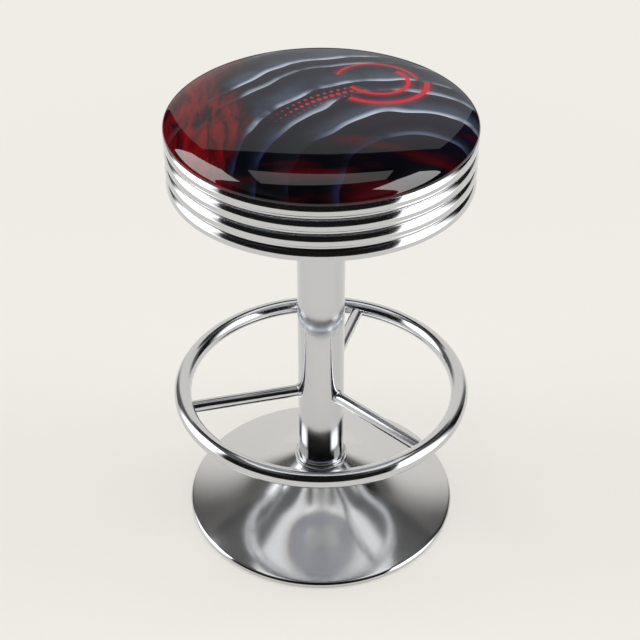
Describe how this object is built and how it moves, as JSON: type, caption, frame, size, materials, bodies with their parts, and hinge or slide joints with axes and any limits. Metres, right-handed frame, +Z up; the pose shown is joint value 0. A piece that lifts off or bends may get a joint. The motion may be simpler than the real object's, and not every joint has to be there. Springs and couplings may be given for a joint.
{
  "type": "diner counter stool",
  "caption": "Counter stool with a round padded swivel seat in a ribbed chrome band, a chrome column with a welded foot ring, and a weighted trumpet base.",
  "frame": {"origin": "on the floor, at the middle of the floor ring and on the swivel axis", "axes": "+Z up along the column and the swivel axis, -Y towards the side that the picture shows, +X to the right seen from there"},
  "size_m": [0.3842, 0.3842, 0.61],
  "materials": {
    "chrome": "bright chrome plate",
    "base_chrome": "soft polished chrome plate on spun steel",
    "zinc_steel": "zinc plated steel",
    "bearing_steel": "polished bearing steel",
    "black_steel": "satin black paint",
    "cast_iron": "rough black cast iron",
    "rubber": "matte black rubber",
    "printed_vinyl": "printed vinyl under a gloss coat",
    "foam": "open-cell foam",
    "plywood": "plywood faced with pale grey laminate"
  },
  "bodies": {
    "frame": {"base_shell": "base_chrome", "base_ballast": "cast_iron", "floor_ring": "rubber", "base_collar": "chrome", "column_tube": "chrome", "column_plug": "black_steel", "clamp_washer": "zinc_steel", "clamp_bolt": "zinc_steel", "foot_ring": "chrome", "spoke_1": "chrome", "spoke_2": "chrome", "spoke_3": "chrome", "column_flange": "black_steel", "swivel_lower_plate": "zinc_steel", "ball_cage": "zinc_steel", "swivel_pin": "zinc_steel", "bearing_ball_1": "bearing_steel", "bearing_ball_2": "bearing_steel", "bearing_ball_3": "bearing_steel", "bearing_ball_4": "bearing_steel", "bearing_ball_5": "bearing_steel", "bearing_ball_6": "bearing_steel", "bearing_ball_7": "bearing_steel", "bearing_ball_8": "bearing_steel", "bearing_ball_9": "bearing_steel", "bearing_ball_10": "bearing_steel", "bearing_ball_11": "bearing_steel", "bearing_ball_12": "bearing_steel", "flange_bolt_1": "zinc_steel", "flange_bolt_2": "zinc_steel", "flange_bolt_3": "zinc_steel", "flange_bolt_4": "zinc_steel", "flange_nut_1": "zinc_steel", "flange_nut_2": "zinc_steel", "flange_nut_3": "zinc_steel", "flange_nut_4": "zinc_steel"},
    "seat": {"seat_cover": "printed_vinyl", "seat_foam": "foam", "seat_board": "plywood", "chrome_band": "chrome", "swivel_upper_plate": "zinc_steel", "band_screw_1": "chrome", "band_screw_2": "chrome", "band_screw_3": "chrome", "band_screw_4": "chrome", "seat_bolt_1": "zinc_steel", "seat_bolt_2": "zinc_steel", "seat_bolt_3": "zinc_steel", "seat_bolt_4": "zinc_steel", "tee_nut_1": "zinc_steel", "tee_nut_2": "zinc_steel", "tee_nut_3": "zinc_steel", "tee_nut_4": "zinc_steel"}
  },
  "joints": [
    {"name": "seat_swivel", "type": "hinge", "parent": "frame", "child": "seat", "pos_m": [0, 0, 0.5], "axis": [0, 0, 1], "continuous": true}
  ]
}
